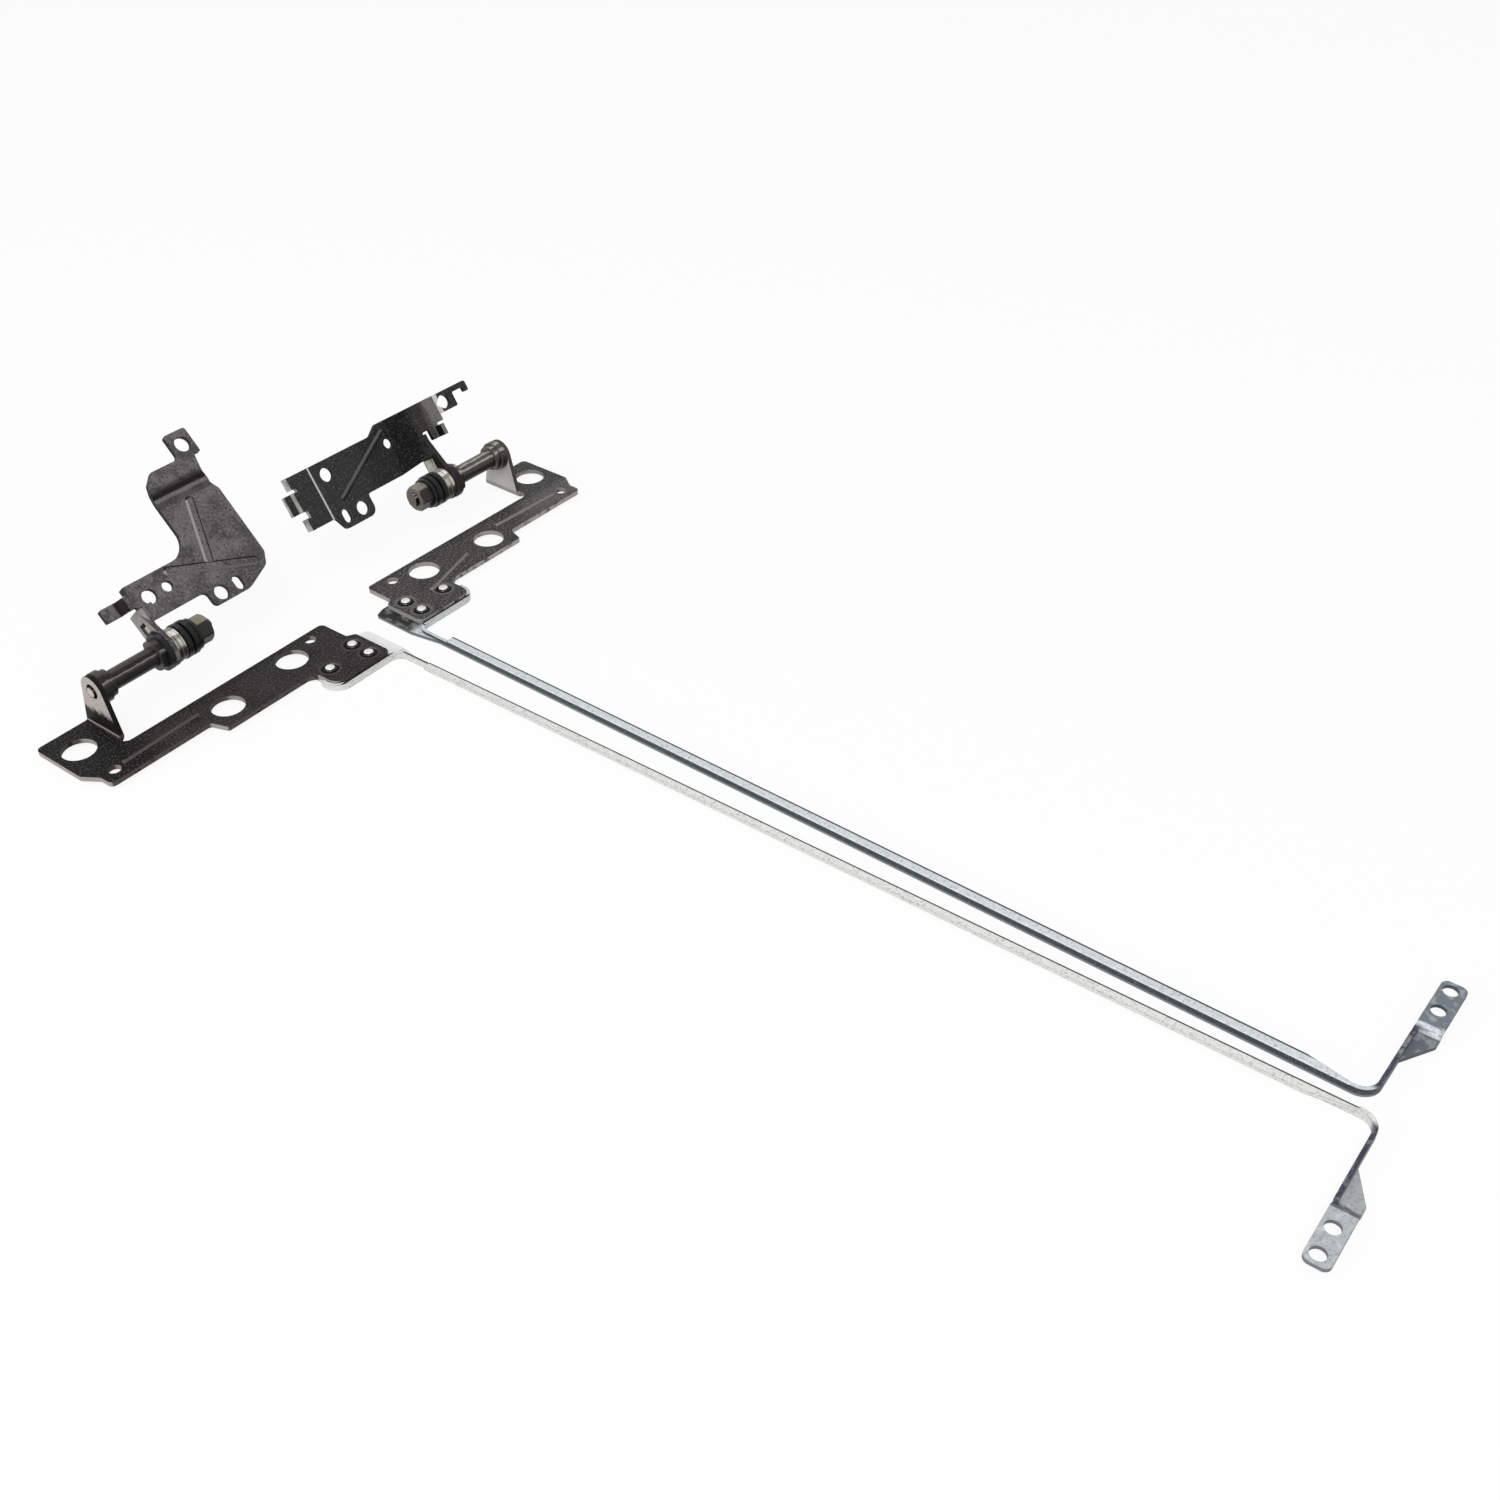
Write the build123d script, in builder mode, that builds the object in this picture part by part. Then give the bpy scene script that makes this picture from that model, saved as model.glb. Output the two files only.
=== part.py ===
from build123d import *
from math import cos, radians, sin
import os

# Pair of friction hinges for a laptop lid, lying on a table.
# out: distance outward from the first rivet, back: toward the base brackets.

# Sheet thicknesses and bends
plate_sheet = 1.0
rail_sheet = 0.7
bracket_sheet = 1.0
bend_inside = 0.4

# Corner radii of the cut outlines
tight_corner = 0.3
small_corner = 0.6
mid_corner = 1.1
wide_corner = 1.8

# Where the hinges lie: first rivet from the middle of the pair
hinge_offset_x = 8.58
hinge_offset_y = 1.36
rail_toe_in = 0.62
base_angle = {-1: 46.0, 1: 59.0}

# Clearances
running_film = 0.05
seat_gap = 0.02
key_clearance = 0.3

# Hinge shaft: place of its axis and radii
shaft_back = 17.3
shaft_height = 10.4
thread_radius = 1.5
thread_flats = 2.3
journal_radius = 1.8
flange_radius = 3.1
flange_flats = 5.4
shaft_radius = 2.0
collar_step_radius = 2.75
collar_radius = 3.2
pin_radius = 1.5
pin_end_radius = 1.15

# Lengths along the shaft
lug_out = 30.3
shaft_end = 19.6
flange_length = 1.35
collar_step_length = 1.2
collar_length = 1.5
pin_end_length = 0.35
pin_groove = 0.5

# Washers, springs and nut on the shaft
outer_washer_radius = 3.8
outer_washer_length = 1.0
keyed_washer_radius = 3.5
keyed_washer_length = 0.95
key_reach = 5.0
key_side = 1.3
key_drop = 1.0
key_recess = 0.25
key_tail_width = 2.1
friction_washer_radius = 3.4
friction_washer_length = 0.95
spring_count = 4
spring_pitch = 0.8
spring_radius = 3.6
spring_bore = 1.65
spring_sheet = 0.45
spring_cone = 0.3
end_washer_radius = 3.3
end_washer_length = 0.7
nut_flats = 5.2
nut_length = 3.0
nut_round = 2.9

# Lid plate
head_inner = -1.3
strip_back = 10.5
strip_front = 2.6
wide_front = -1.3
wide_end = 32.4
wide_slope = 1.2
plate_end = 58.0
nose_end = 55.9
nose_start = 8.9
nose_stop = 5.6
mount_inner = -3.0
mount_outer = 11.0
mount_front = -7.8
mount_corner = 2.6
mount_root_corner = 1.4
mount_neck = 12.8
mount_shoulder = 2.2
mount_shoulder_slope = 1.0
ear_out = 46.6
ear_radius = 3.1
ear_foot = 10.0
ear_corner = 1.7
big_hole_radius = 3.3
wide_hole_margin = 4.3
big_holes = [(53.2, 15.8), (wide_end - wide_hole_margin, 4.0), (10.65, 5.85)]
small_hole_radius = 1.25
small_holes = [(52.9, 5.65), (3.85, 8.2)]
strip_bead = [(50.2, 6.4), (33.6, 7.0)]
slant_bead = [(6.8, -0.4), (20.4, 3.7)]
plate_beads = {-1: [strip_bead], 1: [strip_bead, slant_bead]}
plate_bead_width = 1.8
bead_height = 0.4
bead_slope = 45

# Rivets through plate and rail
rivets = [(0, 0), (0, -4.75), (8.2, -2.6)]
rivet_radius = 1.0
rivet_head_radius = 1.25
rivet_head_height = 0.45
rivet_head_bevel = 0.25
rivet_seat_radius = 1.8
rivet_seat_depth = 0.25

# Display rail
tab_margin = 0.9
tab_rear = 3.0
lip_end = -4.0
neck_corner = 2.2
rail_wall_out = -4.9
rail_web_out = -6.1
rail_web_end = -15.0
rail_height = 1.6
neck_height = 1.3
flange_start = -17.0
flange_width = 1.9
flange_taper = -198.0
flange_bend = 0.35
corner_start = -205.4
cross_front = -209.2
cross_corner = 2.6
gusset_start = 5.0
gusset_tip = 10.8
joggle_start = 12.6
joggle_length = 1.0
end_tab_lift = 0.9
end_tab_out = 24.3
end_tab_rear = -208.5
end_tab_front = -212.6
end_tab_corner = 1.2
end_hole_radius = 1.25
end_holes = [(17.3, -210.3), (22.4, -210.3)]

# Base brackets: reach is measured from the shaft axis along the sheet
sheet_lift = 1.6
lug_radius = 3.7
lug_foot = {-1: 5.6, 1: 6.6}
lug_top = {-1: 8.9, 1: 11.2}
bracket_bead_width = 1.9

# Left base bracket
left_edge_step = 0.1
left_edge_low = 5.6
left_lobe_outer = 16.7
left_lobe_mid = 8.0
left_lobe_inner = 2.4
left_lobe_low = 2.1
left_lobe_rise = 4.5
left_lobe_top = 7.0
left_arm_inner = 1.0
left_notch_low = 22.0
left_notch_high = 23.9
left_arm_notch = 1.9
left_neck_inner = 0.5
left_arm_outer = 14.5
left_bulge_out = 13.0
left_bulge = 28.9
left_joggle_low = 24.7
left_joggle_high = 26.9
left_joggle_depth = 1.0
left_shoulder = 30.8
left_shoulder_out = 10.9
left_tip_inner = -1.1
left_tip_outer = 4.1
left_tip_low = 30.4
left_tip = 36.0
screw_hole_radius = 1.5
pilot_hole_radius = 1.1
tip_hole_radius = 1.6
left_screw_margin = 3.4
left_pilot_margin = 7.7
left_holes = [
    (lug_out - left_screw_margin, 9.9, screw_hole_radius),
    (lug_out - left_pilot_margin, 10.0, pilot_hole_radius),
    (14.0, 4.0, screw_hole_radius),
    (1.4, 33.1, tip_hole_radius),
]
left_arm_corner = 3.0
left_inner_corner = 4.4
left_slot = (9.8, 4.1)
left_beads = [[(20.7, 12.4), (4.1, 6.3)], [(12.2, 10.6), (8.0, 22.4)]]
finger_drop = 2.2
left_long_tab_low = 9.3
left_long_tab_width = 2.8
left_finger_gap = 0.4
left_finger_width = 1.2
left_long_tab_length = 6.2
left_long_tab_flat = 1.6
left_long_tab_drop = 0.8

# Right base bracket
right_edge_low = 5.8
right_lobe_outer = 9.7
right_lobe_inner = 1.4
right_lobe_low = 1.4
right_edge_bend = 19.4
right_end = -4.8
right_end_high = 16.1
right_end_low = 4.4
right_crease = 0.0
right_crease_depth = 0.5
right_step_start = 16.6
right_step_end = 19.1
right_high = 17.8
right_rise_run = 2.0
right_rise_height = 0.9
right_strip_low = 13.6
right_strip_length = 9.0
right_hook_low = 15.5
right_hook_width = 1.2
right_notch_run = 4.6
right_notch_high = 16.6
right_relief = 11.7
right_tab_gap = 0.6
right_tab_width = 2.7
right_tab_low = 9.3
right_tab_slit = 0.5
right_tab_reach = 2.2
right_strip_hole = 1.6
right_slot = (2.7, 3.9)
right_beads = [[(3.8, 7.4), (19.6, 15.9)]]
right_bead_width = 1.1
right_fingers = [(4.4, 7.0), (13.5, 16.1)]
right_centre_tab = (8.5, 12.8)
right_centre_drop = 2.6
right_centre_reach = 1.6
slot_radius = 0.95
slot_length = 1.1

# Reach of the pair to the front and back, which sets the middle of the pair
pair_front = end_tab_front - hinge_offset_y - end_tab_out * sin(radians(rail_toe_in))
left_tip_depth = bracket_sheet + left_joggle_depth - sheet_lift
left_rise = radians(base_angle[-1])
pair_back = shaft_back + left_tip * cos(left_rise) + left_tip_depth * sin(left_rise) - hinge_offset_y
pair_middle = (pair_front + pair_back) / 2

# Places along the shaft, from the outer washer to the nut
lug_inner = lug_out - bracket_sheet
outer_washer_start = lug_out + running_film
flange_start_out = outer_washer_start + outer_washer_length + seat_gap
ear_inner = ear_out - plate_sheet
collar_start = ear_inner - collar_length
keyed_washer_start = lug_inner - seat_gap - keyed_washer_length
friction_washer_start = keyed_washer_start - running_film - friction_washer_length
spring_start = friction_washer_start - seat_gap - spring_count * spring_pitch
end_washer_start = spring_start - seat_gap - end_washer_length
nut_start = end_washer_start - seat_gap - nut_length
thread_top = keyed_washer_start - seat_gap
lug_bend_start = lug_inner - bend_inside
left_edge_out = lug_out + left_edge_step
lug_bend_low = sheet_lift - bracket_sheet - bend_inside
left_tab_high = left_long_tab_low + left_long_tab_width
left_finger_low = left_tab_high + left_finger_gap
left_edge_high = left_finger_low + left_finger_width
left_tab_joggle = left_edge_out + left_long_tab_flat
left_long_tab_end = left_edge_out + left_long_tab_length
right_tab_start = lug_out + right_tab_gap
right_tab_end = right_tab_start + right_tab_width
right_rise_out = right_tab_end + right_rise_run
right_strip_end = right_rise_out + right_strip_length
right_notch_out = right_rise_out + right_notch_run
right_holes = [
    (2.9, 13.2, screw_hole_radius),
    (7.0, 3.8, screw_hole_radius),
    (19.9, 13.1, pilot_hole_radius),
    (right_rise_out + right_strip_hole, 15.6, screw_hole_radius),
]


def table_plane(side):
    place = (side * hinge_offset_x, side * hinge_offset_y - pair_middle, 0)
    return Plane(Location(place, (0, 0, -side * rail_toe_in)))


def shaft_plane(side):
    table = table_plane(side)
    return Plane(table.from_local_coords((0, shaft_back, shaft_height)), x_dir=table.x_dir)


def bracket_plane(side):
    shaft = shaft_plane(side)
    rise = radians(base_angle[side])
    return Plane(shaft.origin, x_dir=shaft.x_dir, z_dir=shaft.z_dir * cos(rise) - shaft.y_dir * sin(rise))


def square_to_x(side, plane, out):
    """Plane square to the shaft: its x is the other plane's y, its y the other plane's z times side."""
    return Plane(plane.from_local_coords((side * out, 0, 0)), x_dir=plane.y_dir, z_dir=plane.x_dir * side)


def shaft_axis(side):
    return Axis(shaft_plane(side).origin, shaft_plane(side).x_dir)


def flipped(side, points):
    return [(side * out, back) for out, back in points]


def outline(side, corners):
    """Closed outline through corners given as out, back and corner radius."""
    points = [(side * out, back) for out, back, radius in corners]
    return FilletPolyline(*points, radius=[corner[2] for corner in corners], close=True)


def square_to_y(plane, back):
    """Plane square to the other plane's y: its x is the same, its y the other plane's z turned over."""
    return Plane(plane.from_local_coords((0, back, 0)), x_dir=plane.x_dir, z_dir=plane.y_dir)


def sheet_section(surface):
    """Closed section of a bracket's sheet under its surface, given as place and lift."""
    upper = [(place, lift + sheet_lift) for place, lift in surface]
    return upper + [(place, lift - bracket_sheet) for place, lift in reversed(upper)]


def bent_section(side, wall, sheet, flat, top):
    """Right-angle bend: wall = its two faces, inside first, flat = the flat's two faces, inside first."""
    inside, outside = wall
    upper, lower = flat
    far = inside + 2 * (inside - outside)
    return FilletPolyline(
        *[(side * out, -height) for out, height in [
            (far, lower),
            (far, upper),
            (inside, upper),
            (inside, top),
            (outside, top),
            (outside, lower),
        ]],
        radius=[0, 0, bend_inside, 0, 0, bend_inside + sheet],
        close=True,
    )


def make_ear(side):
    """Ear bent up from the lid plate, narrowing from its foot to the round eye."""
    table = table_plane(side)
    top = rail_sheet + plate_sheet
    eye_top = shaft_height + ear_radius
    with BuildPart() as ear:
        with BuildSketch(square_to_y(table, shaft_back - ear_foot / 2)):
            with BuildLine():
                bent_section(side, (ear_out, ear_inner), plate_sheet, (top, rail_sheet), eye_top)
            make_face()
        extrude(amount=ear_foot)
        with BuildSketch(square_to_x(side, table, ear_inner)):
            with Locations((shaft_back, side * shaft_height)):
                Circle(ear_radius)
            with Locations((shaft_back, side * top / 2)):
                Rectangle(ear_foot, top)
            make_hull()
        extrude(amount=eye_top, mode=Mode.INTERSECT)
    return ear.part


def make_lid_plate(side):
    table = table_plane(side)
    top = rail_sheet + plate_sheet
    ear_rear = shaft_back + ear_foot / 2
    with BuildPart() as plate:
        with BuildSketch(table.offset(rail_sheet)):
            with BuildLine():
                outline(side, [
                    (head_inner, strip_back, mid_corner),
                    (ear_out + bend_inside, strip_back, ear_corner),
                    (ear_out + bend_inside, ear_rear, 0),
                    (plate_end, ear_rear, mid_corner),
                    (plate_end, nose_start, mid_corner),
                    (nose_end, nose_stop, mid_corner),
                    (nose_end, strip_front, mid_corner),
                    (wide_end + wide_slope, strip_front, mid_corner),
                    (wide_end, wide_front, small_corner),
                    (mount_neck, wide_front, mid_corner),
                    (mount_outer, wide_front - wide_slope, small_corner),
                    (mount_outer, mount_front, mount_corner),
                    (mount_inner, mount_front, mount_root_corner),
                    (mount_inner, mount_shoulder, small_corner),
                    (head_inner, mount_shoulder + mount_shoulder_slope, small_corner),
                ])
            make_face()
            with Locations(*flipped(side, big_holes)):
                Circle(big_hole_radius, mode=Mode.SUBTRACT)
            with Locations(*flipped(side, small_holes)):
                Circle(small_hole_radius, mode=Mode.SUBTRACT)
            with Locations(*flipped(side, rivets)):
                Circle(rivet_radius + seat_gap, mode=Mode.SUBTRACT)
        extrude(amount=plate_sheet)
        add(make_ear(side))
        with BuildSketch(square_to_x(side, table, ear_inner)):
            with Locations((shaft_back, side * shaft_height)):
                Circle(pin_radius + seat_gap)
        extrude(amount=plate_sheet, mode=Mode.SUBTRACT)
        with BuildSketch(table.offset(top - rivet_seat_depth)):
            with Locations(*flipped(side, rivets)):
                Circle(rivet_seat_radius)
        extrude(amount=rivet_seat_depth, mode=Mode.SUBTRACT)
        for start, end in plate_beads[side]:
            centre = ((start[0] + end[0]) / 2, (start[1] + end[1]) / 2)
            with BuildSketch(table.offset(top)):
                SlotCenterPoint(*flipped(side, [centre, end]), plate_bead_width)
            extrude(amount=bead_height, taper=bead_slope)
    return plate.part


def make_rail(side):
    table = table_plane(side)
    wall_outer = rail_wall_out + rail_sheet
    tab_outer = mount_outer + tab_margin
    tab_front = mount_front - tab_margin
    tab_corner = mount_corner + tab_margin
    cross_rear = cross_front + rail_sheet
    joggle_end = joggle_start + joggle_length
    with BuildPart() as rail:
        with BuildSketch(table):
            with BuildLine():
                outline(side, [
                    (rail_web_out, mount_shoulder, small_corner),
                    (mount_inner - tab_margin, tab_rear, small_corner),
                    (mount_outer, tab_rear, mid_corner),
                    (mount_outer, lip_end, 0),
                    (tab_outer, lip_end, 0),
                    (tab_outer, tab_front, tab_corner),
                    (wall_outer, tab_front, neck_corner),
                    (wall_outer, rail_web_end, 0),
                    (rail_wall_out, rail_web_end, 0),
                    (rail_web_out, mount_front, small_corner),
                ])
            make_face()
            with Locations(*flipped(side, rivets)):
                Circle(rivet_radius + seat_gap, mode=Mode.SUBTRACT)
        extrude(amount=rail_sheet)
        with BuildSketch(table):
            with BuildLine():
                outline(side, [
                    (tab_outer, lip_end, 0),
                    (tab_outer, tab_front, tab_corner),
                    (wall_outer, tab_front, neck_corner),
                    (wall_outer, flange_start - rail_sheet, 0),
                    (rail_wall_out, flange_start - rail_sheet, 0),
                    (rail_wall_out, tab_front + rail_sheet, neck_corner + rail_sheet),
                    (tab_outer - rail_sheet, tab_front + rail_sheet, tab_corner - rail_sheet),
                    (tab_outer - rail_sheet, lip_end, 0),
                ])
            make_face()
        extrude(amount=neck_height)
        with BuildSketch(table):
            with BuildLine():
                outline(side, [
                    (rail_wall_out, flange_start, 0),
                    (rail_wall_out, cross_front, cross_corner + rail_sheet),
                    (joggle_start, cross_front, 0),
                    (joggle_start, cross_rear, 0),
                    (wall_outer, cross_rear, cross_corner),
                    (wall_outer, flange_start, 0),
                ])
            make_face()
        extrude(amount=rail_height)
        with BuildSketch(table.offset(rail_height - rail_sheet)):
            with BuildLine():
                Polyline(*flipped(side, [
                    (rail_wall_out, flange_start),
                    (rail_wall_out + flange_width, flange_start),
                    (rail_wall_out + flange_width, flange_taper),
                    (wall_outer, corner_start),
                    (rail_wall_out, corner_start),
                ]), close=True)
            make_face()
        extrude(amount=rail_sheet)
        with BuildSketch(square_to_y(table, flange_start)):
            with BuildLine():
                Polyline(*[(side * out, -height) for out, height in [
                    (rail_wall_out, rail_height - flange_bend),
                    (rail_wall_out - rail_sheet, rail_height - flange_bend),
                    (rail_wall_out - rail_sheet, rail_height + rail_sheet),
                    (rail_wall_out + flange_bend, rail_height + rail_sheet),
                    (rail_wall_out + flange_bend, rail_height),
                ]])
                RadiusArc((side * (rail_wall_out + flange_bend), -rail_height),
                          (side * rail_wall_out, flange_bend - rail_height), side * flange_bend)
            make_face()
        extrude(amount=corner_start - flange_start, mode=Mode.SUBTRACT)
        with BuildSketch(table):
            with BuildLine():
                Polyline(*flipped(side, [
                    (gusset_start, cross_front),
                    (gusset_tip, end_tab_front),
                    (joggle_start, end_tab_front),
                    (joggle_start, cross_rear),
                    (gusset_start, cross_rear),
                ]), close=True)
            make_face()
        extrude(amount=rail_sheet)
        with BuildSketch(square_to_y(table, end_tab_front)):
            with BuildLine():
                Polyline(*[(side * out, -height) for out, height in [
                    (joggle_start - rail_sheet, 0),
                    (joggle_start, 0),
                    (joggle_end, end_tab_lift),
                    (joggle_end + rail_sheet, end_tab_lift),
                    (joggle_end + rail_sheet, end_tab_lift + rail_sheet),
                    (joggle_end, end_tab_lift + rail_sheet),
                    (joggle_start, rail_sheet),
                    (joggle_start - rail_sheet, rail_sheet),
                ]], close=True)
            make_face()
        extrude(amount=end_tab_rear - end_tab_front)
        with BuildSketch(table.offset(end_tab_lift)):
            with BuildLine():
                outline(side, [
                    (joggle_end, end_tab_rear, 0),
                    (end_tab_out, end_tab_rear, end_tab_corner),
                    (end_tab_out, end_tab_front, end_tab_corner),
                    (joggle_end, end_tab_front, 0),
                ])
            make_face()
            with Locations(*flipped(side, end_holes)):
                Circle(end_hole_radius, mode=Mode.SUBTRACT)
        extrude(amount=rail_sheet)
    return rail.part


def make_rivets(side):
    table = table_plane(side)
    seat = rail_sheet + plate_sheet - rivet_seat_depth
    with BuildPart() as heads:
        with BuildSketch(table.offset(running_film)):
            with Locations(*flipped(side, rivets)):
                Circle(rivet_radius)
        extrude(amount=seat)
        with BuildSketch(table.offset(seat)):
            with Locations(*flipped(side, rivets)):
                Circle(rivet_head_radius)
        extrude(amount=rivet_head_height)
        crowns = heads.edges().filter_by(GeomType.CIRCLE).group_by(Axis.Z)[-1]
        chamfer(crowns, rivet_head_bevel)
    return heads.part


def make_shaft(side):
    plane = shaft_plane(side)
    with BuildPart() as shaft:
        with BuildSketch(plane):
            with BuildLine():
                Polyline(*flipped(side, [
                    (shaft_end, 0),
                    (shaft_end, thread_radius),
                    (thread_top, thread_radius),
                    (thread_top, journal_radius),
                    (flange_start_out, journal_radius),
                    (flange_start_out, flange_radius),
                    (flange_start_out + flange_length, flange_radius),
                    (flange_start_out + flange_length, shaft_radius),
                    (collar_start - collar_step_length, shaft_radius),
                    (collar_start - collar_step_length, collar_step_radius),
                    (collar_start, collar_step_radius),
                    (collar_start, collar_radius),
                    (ear_inner - seat_gap, collar_radius),
                    (ear_inner - seat_gap, pin_radius),
                    (ear_out - pin_groove, pin_radius),
                    (ear_out - pin_groove, pin_end_radius),
                    (ear_out + pin_end_length, pin_end_radius),
                    (ear_out + pin_end_length, 0),
                ]), close=True)
            make_face()
        revolve(axis=shaft_axis(side))
        for start, length, flats in (
            (shaft_end, thread_top - shaft_end, thread_flats),
            (flange_start_out, flange_length, flange_flats),
        ):
            with BuildSketch(square_to_x(side, plane, start)):
                Circle(flange_radius + seat_gap)
                Rectangle(flats, 3 * flange_radius, mode=Mode.SUBTRACT)
            extrude(amount=length, mode=Mode.SUBTRACT)
    return shaft.part


def make_washer(side, start, length, radius, bore, flats):
    """Washer on the shaft, its bore round or with two flats."""
    face = square_to_x(side, shaft_plane(side), start)
    with BuildPart() as washer:
        with BuildSketch(face):
            Circle(radius)
        extrude(amount=length)
        with BuildSketch(face):
            Circle(bore)
            Rectangle(flats, 2 * bore, mode=Mode.INTERSECT)
        extrude(amount=length, mode=Mode.SUBTRACT)
    return washer.part


def make_keyed_washer(side):
    plane = bracket_plane(side)
    with BuildPart() as washer:
        with BuildSketch(square_to_x(side, plane, keyed_washer_start)):
            Circle(keyed_washer_radius)
            with Locations((key_reach / 2, -side * key_drop)):
                Rectangle(key_reach + key_side + 2 * key_clearance, key_tail_width)
            Circle(journal_radius + running_film, mode=Mode.SUBTRACT)
        extrude(amount=keyed_washer_length)
        with BuildSketch(square_to_x(side, plane, keyed_washer_start)):
            with Locations((key_reach, -side * key_drop)):
                Rectangle(key_side, key_side)
        extrude(amount=keyed_washer_length + bracket_sheet - key_recess)
    return washer.part


def make_disc_spring(side, index):
    start = spring_start + index * spring_pitch + (spring_pitch - spring_sheet - spring_cone) / 2
    inner_rise = spring_cone * (index % 2)
    outer_rise = spring_cone - inner_rise
    with BuildPart() as spring:
        with BuildSketch(shaft_plane(side)):
            with BuildLine():
                Polyline(*flipped(side, [
                    (start + inner_rise, spring_bore),
                    (start + inner_rise + spring_sheet, spring_bore),
                    (start + outer_rise + spring_sheet, spring_radius),
                    (start + outer_rise, spring_radius),
                ]), close=True)
            make_face()
        revolve(axis=shaft_axis(side))
    return spring.part


def make_nut(side):
    plane = shaft_plane(side)
    with BuildPart() as nut:
        with BuildSketch(square_to_x(side, plane, nut_start)):
            RegularPolygon(nut_flats / 2, 6, major_radius=False)
        extrude(amount=nut_length)
        with BuildSketch(plane):
            with BuildLine():
                Polyline(*flipped(side, [
                    (nut_start, thread_radius + seat_gap),
                    (nut_start, nut_flats / 2),
                    (nut_start + nut_round - nut_flats / 2, nut_round),
                    (nut_start + nut_length - nut_round + nut_flats / 2, nut_round),
                    (nut_start + nut_length, nut_flats / 2),
                    (nut_start + nut_length, thread_radius + seat_gap),
                ]), close=True)
            make_face()
        revolve(axis=shaft_axis(side), mode=Mode.INTERSECT)
    return nut.part


def make_left_sheet(side):
    """Sheet of the left bracket, joggled across its arm, and its joggled long tab."""
    plane = bracket_plane(side)
    with BuildPart() as sheet:
        with BuildSketch(square_to_x(side, plane, left_tip_inner)):
            with BuildLine():
                Polyline(*[(reach, side * lift) for reach, lift in sheet_section([
                    (0, 0),
                    (left_joggle_low, 0),
                    (left_joggle_high, -left_joggle_depth),
                    (left_tip, -left_joggle_depth),
                ])], close=True)
            make_face()
        extrude(amount=left_edge_out - left_tip_inner)
        with BuildSketch(square_to_y(plane, left_long_tab_low)):
            with BuildLine():
                Polyline(*[(side * out, -lift) for out, lift in sheet_section([
                    (left_edge_out - bracket_sheet, 0),
                    (left_tab_joggle, 0),
                    (left_tab_joggle + left_long_tab_drop, -left_long_tab_drop),
                    (left_long_tab_end, -left_long_tab_drop),
                ])], close=True)
            make_face()
        extrude(amount=left_long_tab_width)
    return sheet.part


def make_right_sheet(side):
    """Sheet of the right bracket, lower at its inner end and higher at its outer strip."""
    with BuildPart() as sheet:
        with BuildSketch(square_to_y(bracket_plane(side), 0)):
            with BuildLine():
                Polyline(*[(side * out, -lift) for out, lift in sheet_section([
                    (right_end, -right_crease_depth),
                    (right_crease - right_crease_depth, -right_crease_depth),
                    (right_crease, 0),
                    (right_rise_out, 0),
                    (right_rise_out + right_rise_height / 2, right_rise_height),
                    (right_strip_end, right_rise_height),
                ])], close=True)
            make_face()
        extrude(amount=right_high)
    return sheet.part


def make_bracket(side, sheet, corners, holes, slot, beads, bead_width, flaps):
    """Base bracket: formed sheet cut to its outline, with its lug, pressed beads and bent flaps."""
    plane = bracket_plane(side)
    under = sheet_lift - bracket_sheet
    middle = (lug_foot[side] + lug_top[side]) / 2
    with BuildPart() as bracket:
        add(sheet)
        with BuildSketch(plane.offset(-lug_radius)):
            with BuildLine():
                outline(side, corners)
            make_face()
            for out, reach, radius in holes:
                with Locations((side * out, reach)):
                    Circle(radius, mode=Mode.SUBTRACT)
            with Locations((side * slot[0], slot[1])):
                SlotCenterToCenter(slot_length, 2 * slot_radius, rotation=90, mode=Mode.SUBTRACT)
        extrude(amount=2 * lug_radius, mode=Mode.INTERSECT)
        for start, end in beads:
            centre = ((start[0] + end[0]) / 2, (start[1] + end[1]) / 2)
            with BuildSketch(plane.offset(sheet_lift)):
                SlotCenterPoint(*flipped(side, [centre, end]), bead_width)
            extrude(amount=bead_height, taper=bead_slope)
        with BuildSketch(square_to_y(plane, lug_foot[side])):
            with BuildLine():
                bent_section(side, (lug_inner, lug_out), bracket_sheet, (under, sheet_lift), -lug_radius)
            make_face()
        extrude(amount=lug_top[side] - lug_foot[side])
        with BuildSketch(square_to_x(side, plane, lug_inner)):
            Circle(lug_radius)
            with Locations((middle, side * (lug_bend_low - lug_radius) / 2)):
                Rectangle(lug_top[side] - lug_foot[side], lug_radius + lug_bend_low)
            make_hull()
        extrude(amount=bracket_sheet)
        with BuildSketch(square_to_x(side, plane, lug_inner)):
            Circle(journal_radius + running_film)
            with Locations((key_reach, -side * key_drop)):
                Rectangle(key_side + 2 * key_clearance, key_side + 2 * key_clearance)
        extrude(amount=bracket_sheet, mode=Mode.SUBTRACT)
        for out, low, high, top, drop, thick in flaps:
            with BuildSketch(square_to_x(side, plane, out)):
                with Locations(((low + high) / 2, side * (top - drop / 2))):
                    Rectangle(high - low, drop)
            extrude(amount=thick)
    return bracket.part


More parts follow.
